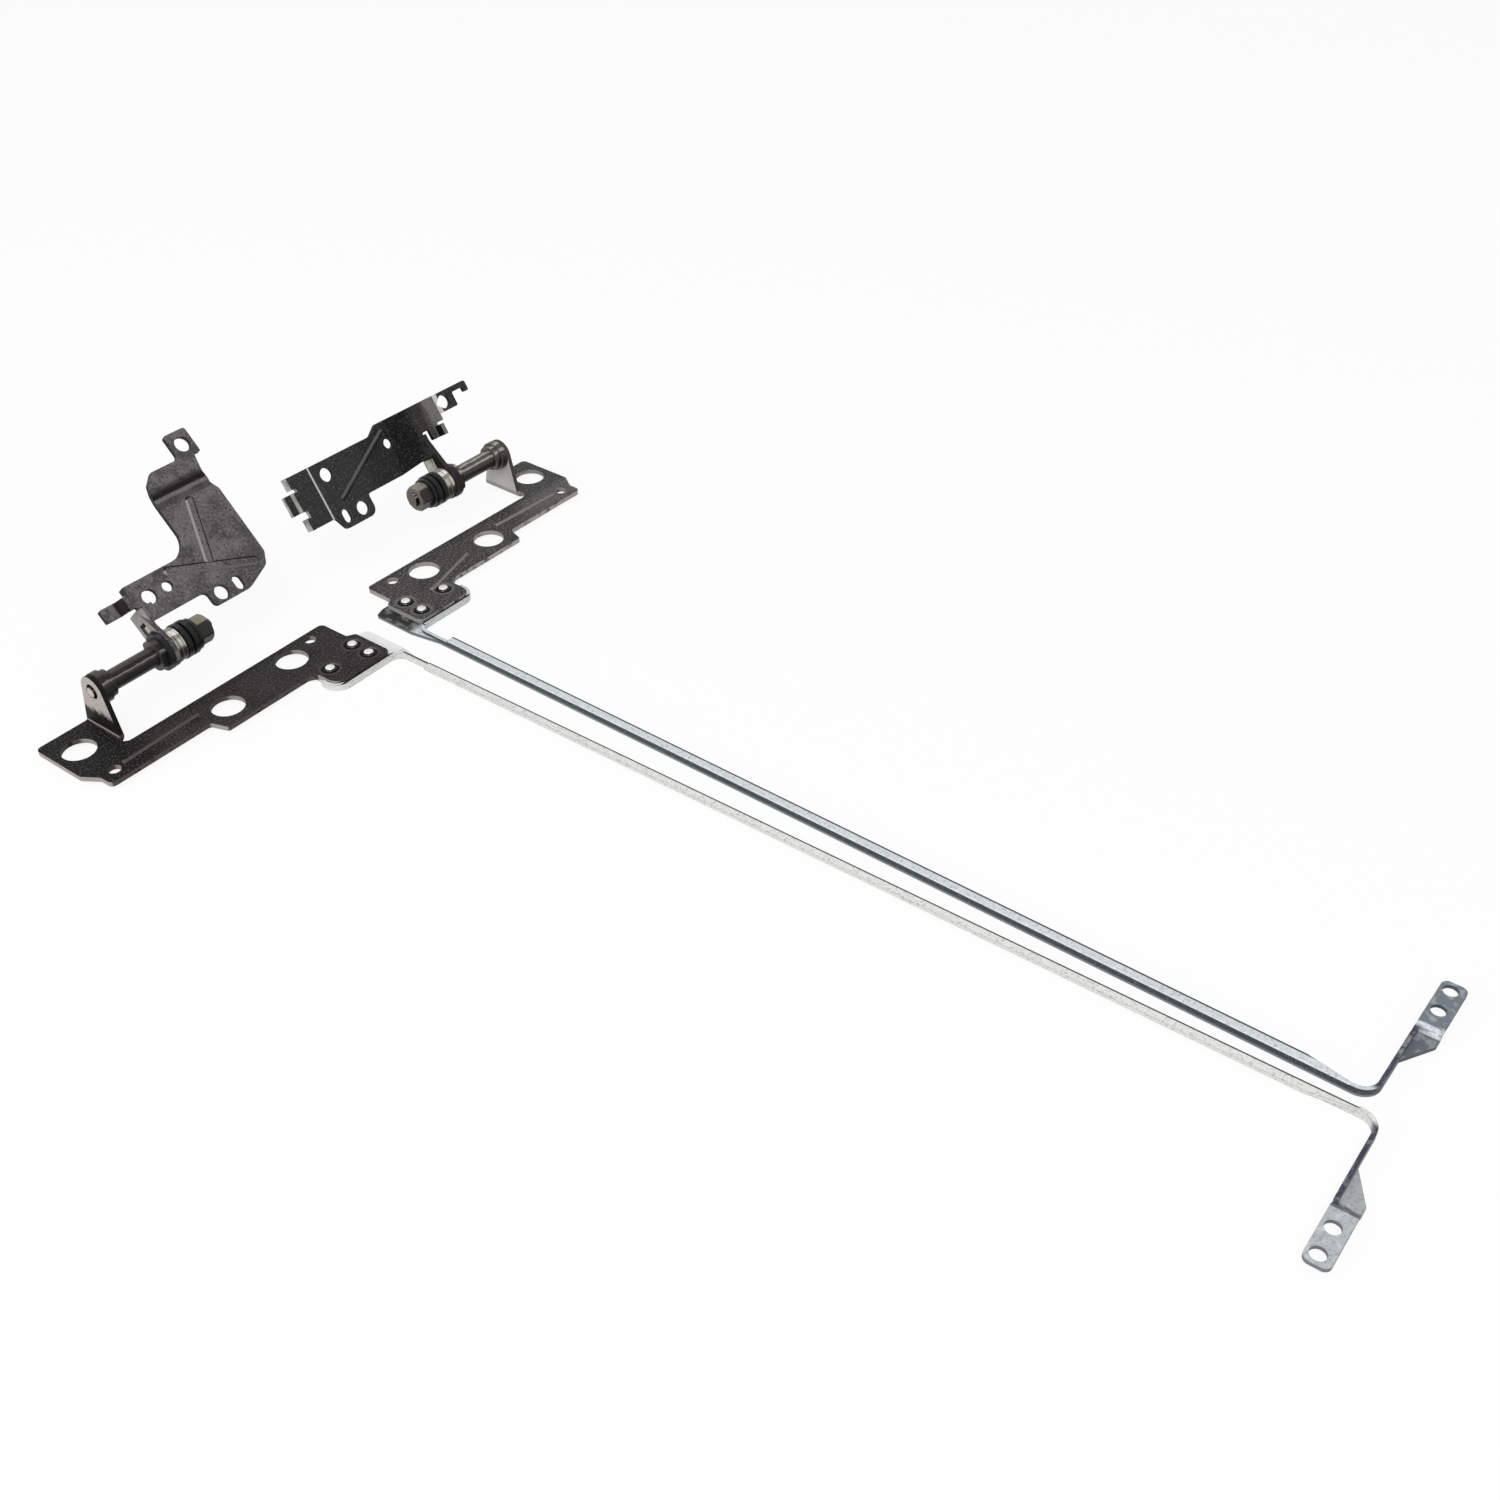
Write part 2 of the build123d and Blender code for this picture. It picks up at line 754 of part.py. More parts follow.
left_corners = [
    (left_edge_out, left_edge_high, tight_corner),
    (left_edge_out, left_tab_high, 0),
    (left_long_tab_end, left_tab_high, tight_corner),
    (left_long_tab_end, left_long_tab_low, tight_corner),
    (left_edge_out, left_long_tab_low, 0),
    (left_edge_out, lug_top[-1], 0),
    (lug_bend_start, lug_top[-1], 0),
    (lug_bend_start, left_edge_low, 0),
    (left_lobe_outer, left_edge_low, mid_corner),
    (left_lobe_outer, left_lobe_low, mid_corner),
    (left_lobe_mid, left_lobe_low, wide_corner),
    (left_lobe_inner, left_lobe_rise, wide_corner),
    (left_arm_inner, left_lobe_top, tight_corner),
    (left_arm_inner, left_notch_low, small_corner),
    (left_arm_notch, left_notch_high, small_corner),
    (left_neck_inner, left_tip_low, tight_corner),
    (left_tip_inner, left_tip_low, tight_corner),
    (left_tip_inner, left_tip, small_corner),
    (left_tip_outer, left_tip, small_corner),
    (left_tip_outer, left_shoulder, mid_corner),
    (left_shoulder_out, left_shoulder, small_corner),
    (left_bulge_out, left_bulge, mid_corner),
    (left_arm_outer, left_joggle_low, left_arm_corner),
    (left_arm_outer, left_edge_high, left_inner_corner),
]
right_corners = [
    (right_end, right_end_low, tight_corner),
    (right_crease, right_end_low, small_corner),
    (right_lobe_inner, right_lobe_low, mid_corner),
    (right_lobe_outer, right_lobe_low, wide_corner),
    (right_lobe_outer, right_edge_low, small_corner),
    (right_edge_bend, right_edge_low, wide_corner),
    (lug_bend_start, lug_foot[1], 0),
    (lug_bend_start, right_relief, tight_corner),
    (right_tab_start, right_relief, tight_corner),
    (right_tab_start, right_tab_low, tight_corner),
    (right_tab_end, right_tab_low, tight_corner),
    (right_tab_end, right_relief + right_tab_slit, tight_corner),
    (right_rise_out, right_relief + right_tab_slit, tight_corner),
    (right_rise_out, right_strip_low, tight_corner),
    (right_notch_out, right_strip_low, tight_corner),
    (right_notch_out, right_notch_high, tight_corner),
    (right_strip_end - right_hook_width, right_notch_high, tight_corner),
    (right_strip_end - right_hook_width, right_hook_low, tight_corner),
    (right_strip_end, right_hook_low, tight_corner),
    (right_strip_end, right_high, small_corner),
    (right_step_end, right_high, mid_corner),
    (right_step_start, right_end_high, mid_corner),
    (right_end, right_end_high, tight_corner),
]
finger_top = sheet_lift - right_crease_depth
centre_low, centre_high = right_centre_tab
left_flaps = [(left_edge_out - bracket_sheet, left_finger_low, left_edge_high, sheet_lift, finger_drop,
               bracket_sheet)]
right_flaps = [(right_end - bracket_sheet, *finger, finger_top, finger_drop, bracket_sheet)
               for finger in right_fingers]
right_flaps += [
    (right_end - bracket_sheet, centre_low, centre_high, finger_top, right_centre_drop, bracket_sheet),
    (right_end - bracket_sheet - right_centre_reach, centre_low, centre_high,
     finger_top - right_centre_drop + bracket_sheet, bracket_sheet, right_centre_reach),
    (right_tab_end - bracket_sheet, right_tab_low, right_relief, sheet_lift + right_tab_reach,
     right_tab_reach + bracket_sheet, bracket_sheet),
]
brackets = {
    -1: (make_left_sheet, left_corners, left_holes, left_slot, left_beads, bracket_bead_width, left_flaps),
    1: (make_right_sheet, right_corners, right_holes, right_slot, right_beads, right_bead_width, right_flaps),
}

os.makedirs("parts", exist_ok=True)
for name, side in (("left", -1), ("right", 1)):
    make_sheet, *details = brackets[side]
    pieces = {
        "lid_plate": make_lid_plate(side),
        "display_rail": make_rail(side),
        "rail_rivets": make_rivets(side),
        "hinge_shaft": make_shaft(side),
        "outer_washer": make_washer(side, outer_washer_start, outer_washer_length, outer_washer_radius,
                                    journal_radius + seat_gap, 2 * journal_radius + 2 * seat_gap),
        "base_bracket": make_bracket(side, make_sheet(side), *details),
        "keyed_washer": make_keyed_washer(side),
        "friction_washer": make_washer(side, friction_washer_start, friction_washer_length,
                                       friction_washer_radius, thread_radius + seat_gap,
                                       thread_flats + 2 * seat_gap),
        "end_washer": make_washer(side, end_washer_start, end_washer_length, end_washer_radius,
                                  thread_radius + seat_gap, thread_flats + 2 * seat_gap),
        "lock_nut": make_nut(side),
    }
    for index in range(spring_count):
        pieces[f"disc_spring_{index + 1}"] = make_disc_spring(side, index)
    for piece, part in pieces.items():
        part.label = f"{name}_{piece}"
        export_step(part, f"parts/{name}_{piece}.step")
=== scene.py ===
import math

import bpy
from mathutils import Matrix, Vector


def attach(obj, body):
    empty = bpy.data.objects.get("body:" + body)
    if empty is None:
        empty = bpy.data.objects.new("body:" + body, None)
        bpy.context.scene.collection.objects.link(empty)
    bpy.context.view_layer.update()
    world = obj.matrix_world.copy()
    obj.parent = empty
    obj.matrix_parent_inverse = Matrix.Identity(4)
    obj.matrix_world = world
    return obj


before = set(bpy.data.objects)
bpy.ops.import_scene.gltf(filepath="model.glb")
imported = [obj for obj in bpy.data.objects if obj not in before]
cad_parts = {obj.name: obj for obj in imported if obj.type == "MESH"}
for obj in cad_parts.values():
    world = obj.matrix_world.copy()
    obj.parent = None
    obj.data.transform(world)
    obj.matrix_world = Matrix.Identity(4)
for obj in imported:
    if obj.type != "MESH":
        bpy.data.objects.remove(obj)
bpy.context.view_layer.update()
mm = 0.001

# Places on a hinge, in mm: out runs outward from its first rivet, back toward its base bracket
first_rivet = (8.58, 1.36)
pair_middle = 86.494
toe_in = 0.62
rivets = [(0, 0), (0, -4.75), (8.2, -2.6)]
rivet_head_top = 1.9
shaft_back = 17.3
shaft_height = 10.4
ear_out = 46.6
lug_out = 30.3
joggle_out = 12.6
end_strip_back = -205.0
base_angle = {-1: 46.0, 1: 59.0}

# Crowns of the rivets, in mm
crown_radius = 0.95
crown_height = 0.3
hammer_dent = 0.08
hammer_blow = 0.7

# The camera's place, in mm and degrees
camera_target = (13.423, 1.933, 0)
camera_distance = 314.37
camera_turn, camera_lift, camera_roll = -51.961, 38.417, -0.957
camera_lens = 40.838

# Table and lights, in metres and watts: a light has its place, its size and its power
table_half = 4.0
table_drop = 0.1 * mm
light_aim = (0.01, 0.0, 0.0)
key_light = ((-0.5, -0.3, 0.8), 0.6, 5.0)
fill_light = ((-0.7, 0.3, 0.25), 0.5, 2.0)


class Wire:
    """A socket of a node tree. Sums and products of wires add Math nodes."""

    def __init__(self, nodes, socket):
        self.nodes = nodes
        self.socket = socket

    def work_out(self, operation, first, second):
        return self.nodes.node("ShaderNodeMath", {"operation": operation}, {0: first, 1: second})

    def __add__(self, other):
        return self.work_out("ADD", self, other)

    def __radd__(self, other):
        return self.work_out("ADD", other, self)

    def __sub__(self, other):
        return self.work_out("SUBTRACT", self, other)

    def __rsub__(self, other):
        return self.work_out("SUBTRACT", other, self)

    def __mul__(self, other):
        return self.work_out("MULTIPLY", self, other)

    def __rmul__(self, other):
        return self.work_out("MULTIPLY", other, self)

    def __or__(self, other):
        return self.work_out("MAXIMUM", self, other)

    def __pow__(self, other):
        return self.work_out("POWER", self, other)

    def __abs__(self):
        return self.work_out("ABSOLUTE", self, 0.0)


class Nodes:
    """The node tree of a material, of the world or of a geometry modifier."""

    def __init__(self, tree):
        self.tree = tree

    def node(self, kind, settings=None, inputs=None, output=0):
        made = self.tree.nodes.new(kind)
        for key, value in (settings or {}).items():
            setattr(made, key, value)
        for key, value in (inputs or {}).items():
            self.feed(made.inputs[key], value)
        return Wire(self, made.outputs[output]) if made.outputs else None

    def feed(self, socket, value):
        if isinstance(value, Wire):
            self.tree.links.new(value.socket, socket)
        else:
            socket.default_value = value

    def between(self, value, low, high):
        """0 at low, 1 at high and a smooth change between them."""
        inputs = {"Value": value, "From Min": low, "From Max": high}
        return self.node("ShaderNodeMapRange", {"interpolation_type": "SMOOTHSTEP"}, inputs)

    def band(self, value, low, high, soft):
        """1 from low to high, falling to 0 over the soft width at each end."""
        return self.between(value, low - soft, low) * (1 - self.between(value, high, high + soft))

    def mix(self, share, first, second):
        inputs = {0: share, 6: first, 7: second}
        return self.node("ShaderNodeMix", {"data_type": "RGBA"}, inputs, 2)

    def steps(self, value, first, stops):
        """A colour that changes along the value: each stop is where a change starts, ends and its colour."""
        colour = first
        for low, high, following in stops:
            colour = self.mix(self.between(value, low, high), colour, following)
        return colour

    def dot(self, vector, direction):
        inputs = {0: vector, 1: direction}
        return self.node("ShaderNodeVectorMath", {"operation": "DOT_PRODUCT"}, inputs, "Value")

    def seen_directly(self):
        """1 for the camera and for what a surface mirrors or lets through, 0 for light on things."""
        camera_ray, mirrored, let_through = (
            self.node("ShaderNodeLightPath", output=f"Is {kind} Ray")
            for kind in ("Camera", "Glossy", "Transmission"))
        return camera_ray | mirrored | let_through


class Finish(Nodes):
    """A material that reads the Object coordinates of its piece: places in mm, facings from -1 to 1."""

    def __init__(self, name, side=1, **shader):
        self.material = bpy.data.materials.new(name)
        self.material.use_nodes = True
        super().__init__(self.material.node_tree)
        self.shader = self.tree.nodes["Principled BSDF"]
        for socket, value in shader.items():
            self.shader.inputs[socket.replace("_", " ")].default_value = value
        self.place = self.node("ShaderNodeTexCoord", output="Object")
        self.facing = self.node("ShaderNodeTexCoord", output="Normal")
        turn = math.radians(-side * toe_in)
        origin = Vector((side * first_rivet[0], side * first_rivet[1] + pair_middle, 0))
        across = side * Vector((math.cos(turn), math.sin(turn), 0))
        behind = Vector((-math.sin(turn), math.cos(turn), 0))
        self.out = self.dot(self.place, across / mm) - across.dot(origin)
        self.back = self.dot(self.place, behind / mm) - behind.dot(origin)
        self.height = self.dot(self.place, (0, 0, 1 / mm))
        self.faces_up = self.dot(self.facing, (0, 0, 1))
        self.faces_left = self.dot(self.facing, (-1, 0, 0))
        self.faces_front = self.dot(self.facing, (0, -1, 0))

    def noise(self, size, detail=3.0, stretch=(1, 1, 1)):
        """Uneven pattern with patches of that size in mm."""
        spread = self.node("ShaderNodeVectorMath", {"operation": "MULTIPLY"}, {0: self.place, 1: stretch})
        inputs = {"Vector": spread, "Scale": 1 / (size * mm), "Detail": detail}
        return self.node("ShaderNodeTexNoise", None, inputs)

    def edges(self, reach):
        """1 on an edge of the piece and 0 further than reach from it."""
        soft = self.node("ShaderNodeBevel", {"samples": 6}, {"Radius": reach * mm})
        flat = self.node("ShaderNodeNewGeometry", output="Normal")
        return self.between(1 - self.dot(soft, flat), 0.02, 0.2)

    def distance(self, out, back):
        """Distance in mm from an upright line on the hinge."""
        return ((self.out - out) ** 2 + (self.back - back) ** 2) ** 0.5

    def from_shaft(self):
        """Distance in mm from the shaft's axis."""
        return ((self.back - shaft_back) ** 2 + (self.height - shaft_height) ** 2) ** 0.5

    def speckled(self, colour, light, dark, size):
        """The colour with light and dark specks of that size in mm."""
        grain = self.noise(size, 2)
        colour = self.mix(self.between(grain, 0.52, 0.72), colour, light)
        return self.mix(1 - self.between(grain, 0.28, 0.45), colour, dark)

    def bump(self, height, depth):
        """Relief of that depth in mm."""
        return self.node("ShaderNodeBump", None, {"Height": height, "Distance": depth * mm, "Strength": 1.0})

    def finish(self, colour, roughness, normal):
        self.feed(self.shader.inputs["Base Color"], colour)
        self.feed(self.shader.inputs["Roughness"], roughness)
        self.feed(self.shader.inputs["Normal"], normal)
        return self.material


def paint(red, green, blue):
    """A colour from screen values of 0 to 255."""
    def linear(value):
        value /= 255
        return value / 12.92 if value < 0.04045 else ((value + 0.055) / 1.055) ** 2.4
    return (linear(red), linear(green), linear(blue), 1)


def lid_plate(side, top, rear, dots_and_highlights, pits_and_shade, front_edge, lit_end_edge, ear_highlight, ear_shade, ear_fade):
    """Blackened sheet: speckled top, silvery rim, painted shade in the rivet seats inside a painted highlight
    ring, a painted highlight on the -X end edge, painted highlight and shade on the bead sides, and an ear
    painted dark as shade with a painted highlight on its -X face.
    """
    # Heights of the ear's foot, places along the plate and distances from a rivet, in mm
    ear_start, ear_clear = 2.0, 2.6
    rear_start, rear_end = 8.0, 11.5
    halo_inner, halo_outer = 1.95, 2.25
    seat_inner, seat_outer = 1.5, 1.7
    make = Finish("plate_coat", side, Specular_IOR_Level=0.08)
    low = 1 - make.between(make.height, ear_start, ear_clear)
    flat = make.between(make.faces_up, 0.35, 0.6)
    bead_side = make.band(make.faces_up, 0.6, 0.8, 0.08)
    ragged = make.noise(1.3, 4)
    colour = make.steps(make.out, *top)
    colour = make.mix(0.7 * make.between(make.back + 1.5 * ragged, rear_start, rear_end), colour, rear)
    colour = make.mix(0.5 * make.between(make.noise(4, 4), 0.5, 0.7), colour, pits_and_shade)
    colour = make.speckled(colour, dots_and_highlights, pits_and_shade, 0.42)
    # painted highlight on bead sides facing front, painted shade on bead sides facing back
    colour = make.mix(bead_side * make.between(make.faces_front, 0.2, 0.5), colour, dots_and_highlights)
    colour = make.mix(bead_side * make.between(make.faces_front, -0.2, -0.5), colour, pits_and_shade)
    rim = low * (1 - flat)
    colour = make.mix(rim * make.between(ragged, 0.3, 0.5), colour, front_edge)
    # painted highlight on the end edge facing -X
    colour = make.mix(rim * make.between(make.faces_left, 0.5, 0.8), colour, lit_end_edge)
    # the ear is painted dark as shade, with a painted highlight on its -X face above the fade heights
    ear = (1 - low) * make.between(make.faces_left, 0.6, 0.9)
    lit = make.between(make.height + 3 * ragged, *ear_fade)
    colour = make.mix(1 - low, colour, ear_shade)
    colour = make.mix(ear * lit, colour, make.mix(make.noise(0.8, 3), ear_highlight, dots_and_highlights))
    colour = make.mix(ear * lit * 0.75, colour, ear_highlight)
    worn = make.edges(0.25) * make.between(make.noise(1.6, 4), 0.4, 0.6)
    colour = make.mix(0.4 * worn, colour, front_edge)
    # painted highlight in a ring around each rivet seat and painted shade inside the seat
    for out, back in rivets:
        away = make.distance(out, back)
        colour = make.mix(low * make.band(away, halo_inner, halo_outer, 0.2) * 0.4, colour, dots_and_highlights)
        colour = make.mix(low * (1 - make.between(away, seat_inner, seat_outer)), colour, paint(12, 12, 12))
    relief = make.noise(0.35, 3) * 0.7 + make.noise(1.4, 2) * 0.3
    return make.finish(colour, 0.42 + 0.2 * make.noise(3, 3), make.bump(relief, 0.04))


def sheet_axes(side):
    """Directions out of a base bracket's sheet and up along it."""
    rise = math.radians(base_angle[side])
    return Vector((0, -math.sin(rise), math.cos(rise))), Vector((0, math.cos(rise), math.sin(rise)))


def left_bracket():
    """Grey formed sheet: mottled face, painted shade and a painted highlight at the joggle, beads with a
    painted highlight on one side and painted shade on the other, a painted highlight on the lug's -X face,
    painted shade on the bent tab and in the key hole.
    """
    # Distances from the shaft, along the sheet and out of it, in mm
    foot_start, foot_end = 4.5, 9
    crease_low, crease_high = 23.4, 24.3
    ramp_low, ramp_high = 24.7, 25.2
    shade_start, shade_full = 25.3, 25.9
    shade_fading, shade_end = 26.4, 28.6
    beads_end, face_start = 24, 24.6
    key_low, key_high = 3.9, 6.1
    key_front, key_rear = -2.1, 0.1
    eye_inner, eye_outer = 4.6, 5.2
    # Places outward along the hinge, in mm
    tab_inner, tab_outer = 31.8, 33.4
    make = Finish("grey_bracket", -1, Specular_IOR_Level=0.08)
    square, along = sheet_axes(-1)
    shaft = Vector((0, pair_middle - first_rivet[1] + shaft_back, shaft_height))
    faces = make.dot(make.facing, square)
    climbs = make.dot(make.facing, along)
    reach = make.dot(make.place, along / mm) - along.dot(shaft)
    lift = make.dot(make.place, square / mm) - square.dot(shaft)
    mottle = make.noise(3.5, 5)
    colour = make.mix(make.between(mottle, 0.35, 0.65), paint(76, 72, 74), paint(106, 101, 103))
    foot = 1 - make.between(reach + 2 * mottle, foot_start, foot_end)
    colour = make.mix(0.8 * foot, colour, paint(72, 69, 70))
    colour = make.speckled(colour, paint(118, 113, 114), paint(58, 55, 56), 0.45)
    # the joggle is painted as light and shade: a dark line before it, a painted highlight on its ramp and a
    # painted shadow past it
    colour = make.mix(0.55 * make.band(reach, crease_low, crease_high, 0.4), colour, paint(54, 50, 51))
    colour = make.mix(0.5 * make.band(reach, ramp_low, ramp_high, 0.3), colour, paint(118, 112, 114))
    uneven = reach + 0.5 * mottle
    shaded = make.between(uneven, shade_start, shade_full) * make.between(uneven, shade_end, shade_fading)
    colour = make.mix(shaded, colour, paint(22, 20, 21))
    # painted highlights and painted shade on the bead sides, by the way each side faces
    bead = make.band(faces, 0.55, 0.85, 0.08) * (1 - make.between(reach, beads_end, face_start))
    colour = make.mix(bead * make.between(make.faces_left, 0.2, 0.5), colour, paint(142, 137, 137))
    colour = make.mix(bead * make.between(make.faces_left, -0.2, -0.5), colour, paint(40, 38, 38))
    colour = make.mix(bead * make.between(climbs, 0.2, 0.5), colour, paint(26, 25, 25))
    colour = make.mix(bead * make.between(climbs, -0.2, -0.5), colour, paint(112, 108, 108))
    colour = make.mix(0.75 * make.edges(0.3), colour, paint(36, 33, 33))
    rim = 1 - make.between(faces, 0.2, 0.5)
    colour = make.mix(rim, colour, paint(34, 31, 31))
    # painted highlight in patches on the rim faces facing front
    lit_rim = rim * make.between(make.faces_front, 0.5, 0.8) * make.between(mottle, 0.4, 0.6)
    colour = make.mix(0.5 * lit_rim, colour, paint(120, 115, 114))
    # painted highlight on the lug's face facing -X
    lug = make.band(make.out, lug_out - 0.4, lug_out + 0.05, 0.05) * make.between(make.faces_left, 0.3, 0.9)
    lug_highlight = make.mix(make.noise(0.9, 4), paint(118, 112, 110), paint(160, 155, 152))
    colour = make.mix(lug, colour, lug_highlight)
    eye = 1 - make.between(make.from_shaft() + 1.4 * mottle, eye_inner, eye_outer)
    colour = make.mix(lug * eye, colour, paint(20, 19, 20))
    # painted near-black as the shade inside the key hole
    key_hole = make.band(reach, key_low, key_high, 0.15) * make.band(lift, key_front, key_rear, 0.15)
    colour = make.mix(lug * key_hole, colour, paint(12, 12, 12))
    # painted shade on the bent tab
    tab = make.between(make.out, lug_out + 0.4, lug_out + 0.8)
    colour = make.mix(tab * make.band(make.out, tab_inner, tab_outer, 0.5), colour, paint(30, 27, 27))
    relief = make.noise(0.35, 3) * 0.6 + mottle * 0.4
    return make.finish(colour, 0.4 + 0.2 * mottle, make.bump(relief, 0.035))


def right_bracket():
    """Black formed sheet: dark drawn streaks, painted highlights on the crease at one end, the step at the
    other and the fingers facing -X, and painted light and shade on the bead sides.
    """
    # Places outward along the hinge, in mm
    strip_start, strip_clear = 35.6, 36.2
    drawn_start, drawn_end = 20, 29
    bead_start, bead_end = 2, 22
    crease_inner, crease_outer = -0.42, -0.26
    step_inner, step_outer = 35.55, 35.95
    fingers_end, sheet_start = -4, -3
    make = Finish("black_bracket", 1, Specular_IOR_Level=0.08)
    square, along = sheet_axes(1)
    faces = make.dot(make.facing, square)
    climbs = make.dot(make.facing, along)
    streak = make.noise(1.1, 4, (1, 0.12, 0.12))
    mottle = make.noise(3, 4)
    colour = make.steps(make.out + 3 * (streak - 0.5), paint(50, 49, 49), [
        (8, 17, paint(34, 34, 34)),
        (20, 22, paint(14, 14, 14)),
        (26, 29, paint(50, 48, 47)),
        (31, 33, paint(112, 109, 107)),
    ])
    colour = make.mix(make.between(make.out, strip_start, strip_clear), colour, paint(48, 47, 47))
    drawn = make.band(make.out, drawn_start, drawn_end, 1.5) * make.between(streak, 0.5, 0.62)
    colour = make.mix(drawn, colour, paint(10, 10, 10))
    light_speck = make.mix(0.15, colour, paint(150, 148, 146))
    dark_speck = make.mix(0.5, colour, paint(16, 16, 16))
    colour = make.speckled(colour, light_speck, dark_speck, 0.4)
    # painted highlight and painted shade on the bead sides, by the way each side faces
    bead = make.band(faces, 0.55, 0.85, 0.08) * make.band(make.out, bead_start, bead_end, 0.3)
    colour = make.mix(bead * make.between(climbs, 0.1, 0.4), colour, paint(86, 84, 83))
    colour = make.mix(bead * make.between(climbs, -0.1, -0.4), colour, paint(28, 27, 27))
    # painted highlights on the bend at the inner end and on the step's riser at the outer end
    colour = make.mix(make.band(make.out, crease_inner, crease_outer, 0.08), colour, paint(186, 183, 180))
    colour = make.mix(make.band(make.out, step_inner, step_outer, 0.15), colour, paint(205, 202, 199))
    rim = 1 - make.between(faces, 0.2, 0.5)
    colour = make.mix(rim, colour, paint(20, 19, 19))
    # painted highlight on the bent fingers facing -X
    fingers = make.between(make.faces_left, 0.5, 0.8) * (1 - make.between(make.out, fingers_end, sheet_start))
    lit_rim = make.mix(make.between(mottle, 0.4, 0.6), paint(128, 126, 124), paint(170, 168, 165))
    colour = make.mix(rim * fingers, colour, lit_rim)
    worn = make.edges(0.25) * make.between(mottle, 0.45, 0.65)
    colour = make.mix(0.35 * worn, colour, paint(170, 167, 165))
    relief = make.noise(0.35, 3) * 0.6 + streak * 0.4
    return make.finish(colour, 0.4 + 0.2 * mottle, make.bump(relief, 0.035))


def zinc_rail(side, top, wall, tab, gusset, cross, joggle, lip, pad, far_edge):
    """Galvanised strip: speckled faces, dark edges, a joggle painted in streaks of light and shade, a painted
    shadow under the lid plate, painted shade on the right rail's wall and pad, and painted reflections at the
    wall's foot and along the far bend.
    """
    # Heights, in mm
    raised_low, raised_high = 1.1, 1.25
    wall_foot, wall_top = 0.1, 0.7
    step_low, step_high = 0.4, 0.6
    gap_low, gap_high = 1.1, 1.4
    # Places across the rail and along it, in mm
    cross_start, cross_clear = -3.8, -2.4
    gusset_start, gusset_clear = 3.5, 4.5
    pad_front, pad_clear = -9.0, -6.5
    gap_front, gap_rear = -8.4, -7.9
    far_line_half = 0.17
    make = Finish("zinc_coat", side, Metallic=0.1, Specular_IOR_Level=0.15)
    flat = make.between(make.faces_up, 0.5, 0.75)
    raised = make.between(make.height, raised_low, raised_high)
    spangle = make.noise(1.4, 4)
    at_end = 1 - make.between(make.back, end_strip_back - 1, end_strip_back)
    on_tab = at_end * make.between(make.out, joggle_out + 1.0, joggle_out + 1.3)
    on_cross = at_end * make.between(make.out, cross_start, cross_clear)
    # on the right rail the pad colour is a painted shadow next to the plate's inner end
    on_pad = (1 - raised) * make.between(make.back, pad_front, pad_clear)
    lying = make.mix(on_pad, top, pad)
    lying = make.mix(at_end * make.between(make.out, gusset_start, gusset_clear), lying, gusset)
    lying = make.mix(on_cross * raised, lying, cross)
    lying = make.mix(on_tab, lying, tab)
    # the wall colour is painted shade on the right rail, and the lighter foot of the wall is a painted
    # reflection of the table
    upright = make.mix(make.between(make.height, wall_top, wall_foot), wall, make.mix(0.35, wall, top))
    upright = make.mix(on_cross, upright, make.mix(0.35, cross, gusset))
    upright = make.mix(make.between(make.faces_front, 0.5, 0.8) * (1 - at_end), upright, lip)
    colour = make.mix(flat, upright, lying)
    # the joggle's step is painted in streaks: a painted highlight on the right rail, painted shade on the
    # left
    step = at_end * make.band(make.out, joggle_out - 0.3, joggle_out + 1.3, 0.2)
    step *= make.between(make.height, step_low, step_high)
    colour = make.mix(step * make.between(make.noise(0.6, 3, (1, 0.2, 1)), 0.3, 0.6), colour, joggle)
    brighter = make.mix(0.5, colour, paint(255, 255, 252))
    colour = make.mix(0.4 * flat * make.between(spangle, 0.5, 0.7), colour, brighter)
    grain = make.between(make.noise(0.5, 3), 0.5, 0.7)
    duller = make.mix(0.6, colour, paint(110, 112, 114))
    colour = make.mix(0.7 * grain * (1 - 0.8 * on_pad), colour, duller)
    # painted dark reflection along the bend at the flange's far edge
    far_line = make.band(make.out, far_edge - far_line_half, far_edge + far_line_half, 0.05) * (1 - at_end)
    colour = make.mix(flat * raised * far_line, colour, paint(70, 70, 72))
    # painted shadow where the lid plate overhangs the rail
    shadow_under_plate = flat * make.band(make.back, gap_front, gap_rear, 0.06)
    shadow_under_plate *= make.band(make.height, gap_low, gap_high, 0.05)
    colour = make.mix(shadow_under_plate, colour, paint(18, 18, 19))
    colour = make.mix(0.6 * make.edges(0.2), colour, paint(84, 86, 92))
    relief = make.noise(0.5, 3) * 0.7 + spangle * 0.3
    return make.finish(colour, 0.38 + 0.2 * spangle, make.bump(relief, 0.03))


